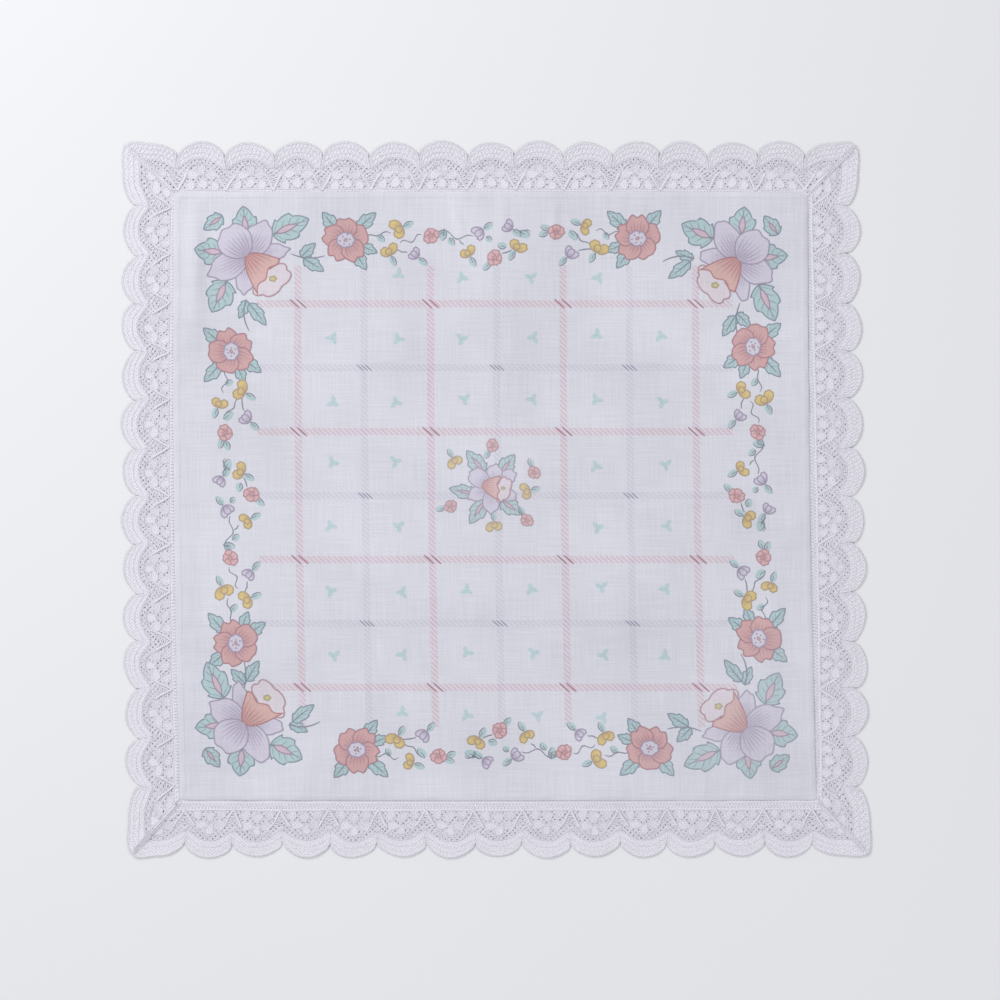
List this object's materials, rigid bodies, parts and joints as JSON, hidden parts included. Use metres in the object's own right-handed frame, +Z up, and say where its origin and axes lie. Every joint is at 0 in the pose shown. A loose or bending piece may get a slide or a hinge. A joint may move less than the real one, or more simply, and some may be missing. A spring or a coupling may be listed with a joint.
{
  "type": "lace-edged handkerchief",
  "caption": "Printed cotton handkerchief laid flat, with a narrow hem over a scalloped lace edging mitred at the corners.",
  "frame": {"origin": "centre of the handkerchief's outline, on the surface it lies on", "axes": "+Z up out of the printed face, +X towards the right-hand side and +Y towards the top side as laid"},
  "size_m": [0.2806, 0.2686, 0.0027],
  "materials": {
    "printed_cotton": "matt plain-woven cotton, printed in soft colours",
    "white_lace": "soft matt lace with slightly shining cords"
  },
  "bodies": {
    "root": {"cotton_square": "printed_cotton", "lace_edging": "white_lace"}
  },
  "joints": []
}
